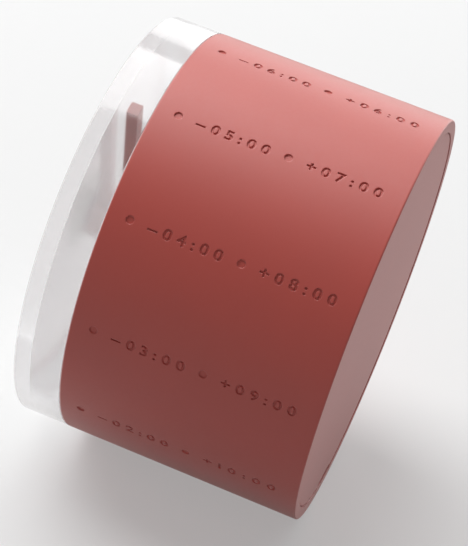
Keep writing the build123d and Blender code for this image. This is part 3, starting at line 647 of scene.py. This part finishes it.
def floor_finish(stage):
    """Seamless pale paper that runs into the background, with its shadows lifted where it is seen."""
    finish = Finish("seamless_paper")
    finish.colour(finish.noise(25.0), colours().floor, 0.004)
    finish.roughness(finish.noise(300.0), 0.85, 0.95)
    away = finish.nodes.new("ShaderNodeVectorMath")
    away.operation = "LENGTH"
    finish.links.new(finish.place, away.inputs[0])
    fade = finish.nodes.new("ShaderNodeMapRange")
    fade.interpolation_type = "SMOOTHSTEP"
    fade.inputs["From Min"].default_value = stage.sweep_start
    fade.inputs["From Max"].default_value = stage.sweep_end
    fade.inputs["To Min"].default_value = stage.floor_lift
    fade.inputs["To Max"].default_value = stage.backdrop
    finish.links.new(away.outputs["Value"], fade.inputs["Value"])
    strength = finish.nodes.new("ShaderNodeMath")
    strength.operation = "MULTIPLY"
    finish.links.new(seen_rays(finish.nodes, finish.links), strength.inputs[0])
    finish.links.new(fade.outputs["Result"], strength.inputs[1])
    finish.links.new(strength.outputs["Value"], finish.shader.inputs["Emission Strength"])
    return finish.set(Specular_IOR_Level=0.1, Emission_Color=WHITE)


# Engraved rows: hours behind and ahead of the middle zone, from the top row down the camera's side
FIRST_ROW_ANGLE = 90.0
FIRST_ROW_HOUR = -6
HOURS_APART = 12
MINUS = "\u2013"
GLYPH_CAP = 0.73
GLYPH_STEPS = 4
WALL_STEPS = 1
CUTTER_TOP = 0.8 * MM


def offset_text(hour):
    """An hour offset as plain numbers."""
    wrapped = (hour + HOURS_APART - 1) % (2 * HOURS_APART) - HOURS_APART + 1
    sign = "+" if wrapped >= 0 else MINUS
    return f"{sign}{abs(wrapped):02d}:00"


def glyph_shape(character):
    """One numeral as a closed cutter with its floor at Z = 0 and its cap height centred, and its width."""
    size = sizes()
    clear_selection()
    bpy.ops.object.text_add()
    piece = bpy.context.object
    piece.data.body = character
    piece.data.size = 1.0
    piece.data.resolution_u = GLYPH_STEPS
    piece.data.fill_mode = "BOTH"
    scale = size.letter_height / GLYPH_CAP
    piece.data.extrude = CUTTER_TOP / 2 / scale
    piece.data.bevel_depth = size.wall_lean / scale
    piece.data.bevel_resolution = WALL_STEPS
    bpy.ops.object.convert(target="MESH")
    piece = bpy.context.object
    low = min(point.co.x for point in piece.data.vertices)
    high = max(point.co.x for point in piece.data.vertices)
    floor = min(point.co.z for point in piece.data.vertices)
    shift = Matrix.Translation((-(low + high) / 2, -GLYPH_CAP / 2, -floor))
    steepness = size.engraving_depth / size.wall_lean
    stretch = Matrix.Diagonal((scale * size.letter_stretch, scale, scale * steepness, 1.0))
    piece.data.transform(stretch @ shift)

    # The outline may cross itself, so the top is trimmed by a boolean that allows for it
    clear_selection()
    bpy.ops.mesh.primitive_cube_add(size=1.0, location=(0, 0, 0.5 + CUTTER_TOP))
    combine(piece, named("trim"), "DIFFERENCE", True)
    return piece, (high - low) * scale * size.letter_stretch


def dot_shape():
    """One dot as a closed cutter with a flat floor at Z = 0 and walls that lean like the numerals' walls."""
    size = sizes()
    slope = size.wall_lean / size.engraving_depth
    floor_radius = size.dot_radius - size.wall_lean
    clear_selection()
    bpy.ops.mesh.primitive_cone_add(
        vertices=DOT_SIDES, radius1=floor_radius, radius2=floor_radius + slope * CUTTER_TOP,
        depth=CUTTER_TOP, location=(0, 0, CUTTER_TOP / 2))
    return named("dot")


def row_matrix(row_angle, station):
    """Place on the sleeve: X along the axis, Y round it and Z outwards from an engraving's floor."""
    size = sizes()
    turn = math.radians(row_angle)
    outward = Vector((math.cos(turn), 0, math.sin(turn)))
    round_way = Vector((-math.sin(turn), 0, math.cos(turn)))
    along = Vector((0, 1, 0))
    matrix = Matrix((along, round_way, outward)).transposed().to_4x4()
    matrix.translation = AXIS_POINT + outward * (size.body_radius - size.engraving_depth) + along * station
    return matrix


def copy_of(piece, matrix):
    """A copy of a shape with its own mesh, its place in that mesh."""
    twin = piece.copy()
    twin.data = piece.data.copy()
    twin.data.transform(matrix)
    bpy.context.scene.collection.objects.link(twin)
    return twin


def engraving_cutter():
    """All rows of dots and numerals as one cutter."""
    size = sizes()
    shapes = {character: glyph_shape(character) for character in "0123456789+:" + MINUS}
    dot = dot_shape()
    front = SLEEVE_LOW.y
    text_gap = size.first_text - size.first_dot
    copies = []
    for row in range(size.row_count):
        row_angle = FIRST_ROW_ANGLE - row * 360.0 / size.row_count
        behind = FIRST_ROW_HOUR + row
        spans = [
            (offset_text(behind), size.first_text, size.second_dot - text_gap),
            (offset_text(behind + HOURS_APART), size.second_dot + text_gap, size.last_text),
        ]
        for dot_station in (size.first_dot, size.second_dot):
            copies.append(copy_of(dot, row_matrix(row_angle, front + dot_station)))
        for text, start, end in spans:
            widths = [shapes[character][1] for character in text]
            gap = (end - start - sum(widths)) / (len(text) - 1)
            station = start
            for character, width in zip(text, widths):
                place = row_matrix(row_angle, front + station + width / 2)
                copies.append(copy_of(shapes[character][0], place))
                station += width + gap
    for shape, _ in shapes.values():
        bpy.data.objects.remove(shape)
    bpy.data.objects.remove(dot)
    cutter = joined(copies)
    merge_and_face_out(cutter)
    if open_edges(cutter):
        raise RuntimeError("the engraving's cutter isn't closed")
    return cutter


class CLOCK_OT_sleeve(Operator):
    """Model the engraved metal sleeve"""

    bl_idname = "clock.sleeve"
    bl_label = "Sleeve"

    def execute(self, context):
        size = sizes()
        front, rear = SLEEVE_LOW.y, SLEEVE_HIGH.y
        piece = add_drum("engraved_sleeve", size.body_radius, front, rear, SLEEVE_SIDES)
        pick_end(piece, front, -1)
        step_end(size.body_radius - size.seat_radius, size.seat_depth)
        step_end(size.seat_radius - size.bore_radius, 0)
        bpy.ops.mesh.delete(type="FACE")
        pick_end(piece, rear, 1)
        step_end(size.body_radius - size.cover_seat_radius, -size.cover_seat_depth)
        step_end(size.cover_seat_radius - size.bore_radius, 0)
        bpy.ops.mesh.delete(type="FACE")
        bridge_openings()
        round_rings(piece, [(size.body_radius, front), (size.body_radius, rear)], size.rim_round, 4)
        round_rings(piece, [(size.seat_radius, front), (size.cover_seat_radius, rear)], size.edge_round, 2)
        merge_and_face_out(piece)
        combine(piece, engraving_cutter(), "DIFFERENCE")
        smooth_turned(piece)
        hand_in(piece, "housing", "red_metal", coat_finish(), "sleeve")
        return {"FINISHED"}


class CLOCK_OT_front_cap(Operator):
    """Model the clear front cap"""

    bl_idname = "clock.front_cap"
    bl_label = "Front Cap"

    def execute(self, context):
        size = sizes()
        front, rim = CAP_LOW.y, SLEEVE_LOW.y
        cavity = CAP_HIGH.y - front - size.cap_disc
        piece = add_drum("clear_front_cap", size.body_radius, front, rim, SHELL_SIDES)
        pick_end(piece, rim, 1)
        step_end(size.body_radius - size.spigot_radius, size.spigot_length)
        step_end(size.spigot_radius - size.cap_inner, -cavity)
        round_rings(piece, [(size.body_radius, front)], size.rim_round, 4)
        round_rings(piece, [(size.body_radius, rim)], size.edge_round, 2)
        merge_and_face_out(piece)
        smooth_turned(piece)
        hand_in(piece, "housing", "clear_acrylic", acrylic_finish(), "front_cap")
        return {"FINISHED"}


class CLOCK_OT_dial(Operator):
    """Model the dial with its twelve hour marks"""

    bl_idname = "clock.dial"
    bl_label = "Dial"

    def execute(self, context):
        size = sizes()
        face, seat = DIAL_LOW.y, DIAL_HIGH.y
        flange_front = seat - size.dial_thickness
        pan_radius = size.cap_inner - size.pan_gap
        piece = add_drum("marked_dial", DIAL_HIGH.x, flange_front, seat, DIAL_SIDES)
        pick_end(piece, flange_front, -1)
        step_end(DIAL_HIGH.x - pan_radius, face - flange_front)
        step_end(pan_radius - size.dial_hole, 0)
        bpy.ops.mesh.delete(type="FACE")
        pick_end(piece, seat, 1)
        step_end(DIAL_HIGH.x - pan_radius + size.dial_wall, face + size.dial_thickness - seat)
        step_end(pan_radius - size.dial_wall - size.dial_hole, 0)
        bpy.ops.mesh.delete(type="FACE")
        bridge_openings()
        round_rings(piece, [(pan_radius, face)], size.edge_round, 2)
        merge_and_face_out(piece)
        marks = []
        for hour in range(size.mark_count):
            turn = math.radians(360.0 / size.mark_count * hour)
            centre = Vector((math.cos(turn), 0, math.sin(turn))) * size.mark_circle + AXIS_POINT
            clear_selection()
            bpy.ops.mesh.primitive_cylinder_add(
                vertices=MARK_SIDES, radius=size.mark_radius, depth=2 * size.mark_depth,
                location=(centre.x, face, centre.z), rotation=(math.pi / 2, 0, 0))
            marks.append(named(f"mark_{hour}"))
        combine(piece, joined(marks), "DIFFERENCE")
        smooth_turned(piece)
        plastic = moulded_finish("dial_plastic", colours().dial, spread=0.012)
        hand_in(piece, "housing", "white_plastic", plastic, "dial")
        return {"FINISHED"}


def hand_shape():
    """The hand's hub and bar in one, with the hole for the pipe."""
    size = sizes()
    front, rear = HAND_LOW.y, HAND_HIGH.y
    hub = add_plain_drum("hour_hand_bar", size.hand_hub, front, rear, SMALL_SIDES)
    turn = Matrix.Rotation(-size.hand_angle, 4, "Y")
    middle = turn @ Vector((size.hand_reach / 2, 0, 0)) + AXIS_POINT
    middle.y = front + size.hand_bar / 2
    stretch = Matrix.Diagonal((size.hand_reach, size.hand_bar, size.hand_width, 1.0))
    combine(hub, add_block(Matrix.Translation(middle) @ turn @ stretch), "UNION")
    bore(hub, size.hand_hole, front, rear)
    merge_and_face_out(hub)
    return hub


def round_hand(hand):
    """Rounds the outline of the hand's front face and leaves the edge of its hole as it is."""
    size = sizes()
    make_active(hand)
    bpy.ops.object.mode_set(mode="EDIT")
    bpy.ops.mesh.select_mode(type="EDGE")
    bpy.ops.mesh.select_all(action="DESELECT")
    mesh = bmesh.from_edit_mesh(hand.data)
    hole_edge = size.hand_hole + size.hole_margin
    for edge in mesh.edges:
        at_front = all(abs(end.co.y - HAND_LOW.y) < PLACE_TOLERANCE for end in edge.verts)
        turned = len(edge.link_faces) == 2 and edge.calc_face_angle() > OUTLINE_SHARP
        outside = all((end.co - AXIS_POINT).xz.length > hole_edge for end in edge.verts)
        edge.select_set(at_front and turned and outside)
    bmesh.update_edit_mesh(hand.data)
    bpy.ops.mesh.bevel(offset=size.hand_round, offset_type="OFFSET", segments=3, affect="EDGES")


class CLOCK_OT_hour_hand(Operator):
    """Model the thick hour hand and the cap on its hub"""

    bl_idname = "clock.hour_hand"
    bl_label = "Hour Hand"

    def execute(self, context):
        size = sizes()
        hand = hand_shape()
        round_hand(hand)
        smooth(hand, HAND_SHARP)
        finish = satin_plastic("hand_coat", colours().hand)
        hand_in(hand, "hour_hand", "red_plastic", finish, "hour_hand")

        radius, front = HAND_CAP_HIGH.x, HAND_CAP_LOW.y
        plate_rear = front + size.cap_plate
        cap = add_drum("hub_cap", radius, front, plate_rear, SMALL_SIDES)
        pick_end(cap, plate_rear, 1)
        step_end(radius - size.stub_radius, HAND_CAP_HIGH.y - plate_rear)
        round_rings(cap, [(radius, front)], size.hand_cap_round, 4)
        smooth(cap, HAND_CAP_SHARP)
        hand_in(cap, "hour_hand", "red_plastic", finish, "hand_cap")
        return {"FINISHED"}


class CLOCK_OT_fasteners(Operator):
    """Model the plated washer and the hexagon nut behind the hand"""

    bl_idname = "clock.fasteners"
    bl_label = "Washer and Nut"

    def execute(self, context):
        size = sizes()
        finish = metal_finish("nickel_plate", colours().nickel, 0.22, 0.36)
        washer = add_drum("turned_washer", WASHER_HIGH.x, WASHER_LOW.y, WASHER_HIGH.y, WASHER_SIDES)
        round_rings(washer, [(WASHER_HIGH.x, WASHER_LOW.y)], size.washer_round, 2)
        bore(washer, size.washer_hole, WASHER_LOW.y, WASHER_HIGH.y)
        smooth(washer)
        hand_in(washer, "housing", "plated_brass", finish, "brass_washer")

        # The nut's corners lie level or upright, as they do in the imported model
        corner = NUT_HIGH.x
        half_flat = math.pi / NUT_SIDES
        turn = half_flat if corner > NUT_HIGH.z - AXIS_HEIGHT else 2 * half_flat
        nut = add_plain_drum("chamfered_nut", corner, NUT_LOW.y, NUT_HIGH.y, NUT_SIDES)
        nut.data.transform(
            Matrix.Translation(AXIS_POINT) @ Matrix.Rotation(turn, 4, "Y") @ Matrix.Translation(-AXIS_POINT))
        cone_radius = corner + size.nut_margin
        cone = add_drum("cone", cone_radius, NUT_LOW.y, NUT_HIGH.y + CUT_MARGIN, SMALL_SIDES)
        round_rings(cone, [(cone_radius, NUT_LOW.y)], size.nut_chamfer, 1)
        combine(nut, cone, "INTERSECT")
        bore(nut, size.bush_radius, NUT_LOW.y, NUT_HIGH.y)
        smooth(nut, NUT_SHARP)
        hand_in(nut, "housing", "plated_brass", finish, "bush_nut")
        return {"FINISHED"}


class CLOCK_OT_back_cover(Operator):
    """Model the plain back cover with its plug and pry notch"""

    bl_idname = "clock.back_cover"
    bl_label = "Back Cover"

    def execute(self, context):
        size = sizes()
        rear = COVER_HIGH.y
        seat = COVER_LOW.y + size.plug_length
        groove_front = (RING_LOW.y + RING_HIGH.y - size.groove_width) / 2
        groove_rear = groove_front + size.groove_width
        groove_radius = size.plug_radius - size.groove_depth
        piece = add_drum("plain_back_cover", COVER_HIGH.x, seat, rear, SHELL_SIDES)
        pick_end(piece, seat, -1)
        step_end(COVER_HIGH.x - size.plug_radius, groove_rear - seat)
        step_end(size.plug_radius - groove_radius, groove_front - groove_rear)
        bpy.ops.mesh.extrude_region_move(TRANSFORM_OT_translate={"value": (0, 0, 0)})
        grow = size.plug_radius / groove_radius
        bpy.ops.transform.resize(value=(grow, 1.0, grow), center_override=(0, groove_front, AXIS_HEIGHT))
        step_end(0, COVER_LOW.y - groove_front)
        step_end(size.plug_wall, seat - COVER_LOW.y)
        round_rings(piece, [(COVER_HIGH.x, rear)], size.cover_round, 3)
        round_rings(piece, [(size.plug_radius, COVER_LOW.y)], size.plug_round, 2)
        merge_and_face_out(piece)
        notch = Matrix.Diagonal((size.notch_width, 2 * size.notch_depth, 2 * size.notch_depth, 1.0))
        combine(piece, add_block(Matrix.Translation((0, rear, COVER_LOW.z)) @ notch), "DIFFERENCE")
        smooth_turned(piece)
        hand_in(piece, "back_cover", "red_metal", coat_finish(), "back_cover")
        return {"FINISHED"}


class CLOCK_OT_movement(Operator):
    """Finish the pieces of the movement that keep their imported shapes"""

    bl_idname = "clock.movement"
    bl_label = "Movement"

    def execute(self, context):
        shade = colours()
        case = moulded_finish("case_plastic", shade.case)
        wheel = moulded_finish("wheel_plastic", shade.wheel, 0.30, 0.40)
        steel = metal_finish("rolled_steel", shade.steel, 0.28, 0.42, (1.0, 0.05, 1.0))
        brass = metal_finish("turned_arbor_brass", shade.brass, 0.24, 0.34)
        rubber = rubber_finish()
        finishes = {
            case: ("movement_case", "movement_cover", "setting_knob", "control_chip"),
            wheel: ("hour_wheel", "minute_wheel", "centre_wheel", "third_wheel", "fourth_wheel",
                    "fifth_wheel", "rotor_pinion"),
            steel: ("clutch_washer", "stator", "coil_core", "stator_screws", "quartz_crystal",
                    "contact_plus", "contact_minus"),
            brass: ("centre_arbor",),
            rubber: ("rubber_washer", "cover_o_ring"),
            moulded_finish("bobbin_plastic", shade.bobbin): ("coil_bobbin",),
            metal_finish("ferrite", shade.magnet, 0.45, 0.6, grain=4200.0): ("rotor_magnet",),
            metal_finish("enamelled_wire", shade.copper, 0.22, 0.34): ("coil_winding",),
            moulded_finish("board_lacquer", shade.board, 0.25, 0.35): ("circuit_board",),
            moulded_finish("cell_wrap", shade.cell, 0.25, 0.35): ("battery",),
        }
        for finish, nodes in finishes.items():
            for node in nodes:
                for slot in frame["nodes"][node].material_slots:
                    slot.material = finish
        return {"FINISHED"}


# Stage: the camera's sensor in millimetres, its range in metres, and bounces enough for many clear walls
SENSOR_WIDTH = 36.0
CLIP_START = 0.01
CLIP_END = 50.0
CLEAR_BOUNCES = 40
GLOSSY_BOUNCES = 30


def add_softbox(name, turn, lean, distance, size, power):
    """Adds a round soft light that looks at the clock, turned round its axis and leaning to the dial."""
    level = math.cos(lean)
    way = Vector((math.cos(turn) * level, -math.sin(lean), math.sin(turn) * level))
    clear_selection()
    bpy.ops.object.light_add(type="AREA", location=AXIS_POINT + way * distance)
    softbox = bpy.context.object
    softbox.name = name
    softbox.rotation_euler = (-way).to_track_quat("-Z", "Y").to_euler()
    softbox.data.shape = "DISK"
    softbox.data.size = size
    softbox.data.energy = power
    # The cap lets shadow rays through, so what is behind it is lit and isn't lit twice
    softbox.visible_camera = False
    softbox.visible_transmission = False


def add_floor(stage):
    """Adds the paper that the clock stands on."""
    clear_selection()
    bpy.ops.mesh.primitive_circle_add(vertices=SMALL_SIDES, radius=stage.floor_radius, fill_type="NGON")
    floor = named("floor")
    floor.data.materials.append(floor_finish(stage))


def light_world(stage):
    """Lights the clock evenly from all sides, in front of a pale background."""
    world = bpy.data.worlds.new("studio")
    bpy.context.scene.world = world
    world.use_nodes = True
    nodes, links = world.node_tree.nodes, world.node_tree.links
    background = nodes["Background"]
    background.inputs["Color"].default_value = WHITE
    strength = nodes.new("ShaderNodeMapRange")
    strength.inputs["To Min"].default_value = stage.sky
    strength.inputs["To Max"].default_value = stage.backdrop
    links.new(seen_rays(nodes, links), strength.inputs["Value"])
    links.new(strength.outputs["Result"], background.inputs["Strength"])


def add_camera(stage):
    """Adds the camera that was fitted to the photo."""
    clear_selection()
    bpy.ops.object.camera_add()
    camera = bpy.context.object
    camera.name = "photo_view"
    level = math.cos(stage.elevation)
    back = Vector((math.sin(stage.azimuth) * level, -math.cos(stage.azimuth) * level,
                   math.sin(stage.elevation)))
    camera.location = Vector((0, stage.aim_y, stage.aim_z)) + back * stage.distance
    camera.rotation_mode = "QUATERNION"
    camera.rotation_quaternion = (-back).to_track_quat("-Z", "Y") @ Quaternion((0, 0, 1), stage.roll)
    camera.data.lens = stage.lens
    camera.data.sensor_width = SENSOR_WIDTH
    camera.data.clip_start = CLIP_START
    camera.data.clip_end = CLIP_END
    bpy.context.scene.camera = camera


class CLOCK_OT_stage(Operator):
    """Set up the floor, the light and the camera"""

    bl_idname = "clock.stage"
    bl_label = "Stage"

    def execute(self, context):
        stage = context.scene.clock_stage
        add_floor(stage)
        light_world(stage)
        add_softbox("overhead_softbox", stage.key_angle, stage.key_lean, stage.key_distance,
                    stage.key_size, stage.key_power)
        add_softbox("low_softbox", stage.rim_angle, stage.rim_lean, stage.rim_distance,
                    stage.rim_size, stage.rim_power)
        add_camera(stage)
        context.scene.view_settings.view_transform = "Standard"
        paths = context.scene.cycles
        paths.max_bounces = CLEAR_BOUNCES
        paths.glossy_bounces = GLOSSY_BOUNCES
        paths.transmission_bounces = CLEAR_BOUNCES
        return {"FINISHED"}


PIECES = (
    CLOCK_OT_sleeve,
    CLOCK_OT_front_cap,
    CLOCK_OT_dial,
    CLOCK_OT_hour_hand,
    CLOCK_OT_fasteners,
    CLOCK_OT_back_cover,
    CLOCK_OT_movement,
    CLOCK_OT_stage,
)


class CLOCK_PT_pieces(Panel):
    """Sizes, colours and pieces of the clock"""

    bl_idname = "CLOCK_PT_pieces"
    bl_label = "World Time Clock"
    bl_space_type = "VIEW_3D"
    bl_region_type = "UI"
    bl_category = "Clock"

    def draw(self, context):
        for operator in PIECES:
            self.layout.operator(operator.bl_idname)
        for group in (context.scene.clock_sizes, context.scene.clock_colours, context.scene.clock_stage):
            box = self.layout.box()
            for name in group.__annotations__:
                box.prop(group, name)


GROUPS = (ClockSizes, ClockColours, ClockStage)


def register():
    for item in (*GROUPS, *PIECES, CLOCK_PT_pieces):
        bpy.utils.register_class(item)
    bpy.types.Scene.clock_sizes = PointerProperty(type=ClockSizes)
    bpy.types.Scene.clock_colours = PointerProperty(type=ClockColours)
    bpy.types.Scene.clock_stage = PointerProperty(type=ClockStage)


def unregister():
    del bpy.types.Scene.clock_stage
    del bpy.types.Scene.clock_colours
    del bpy.types.Scene.clock_sizes
    for item in reversed((*GROUPS, *PIECES, CLOCK_PT_pieces)):
        bpy.utils.unregister_class(item)


def main():
    """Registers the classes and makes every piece."""
    register()
    for operator in (
        bpy.ops.clock.sleeve,
        bpy.ops.clock.front_cap,
        bpy.ops.clock.dial,
        bpy.ops.clock.hour_hand,
        bpy.ops.clock.fasteners,
        bpy.ops.clock.back_cover,
        bpy.ops.clock.movement,
        bpy.ops.clock.stage,
    ):
        operator()


if __name__ == "__main__":
    main()
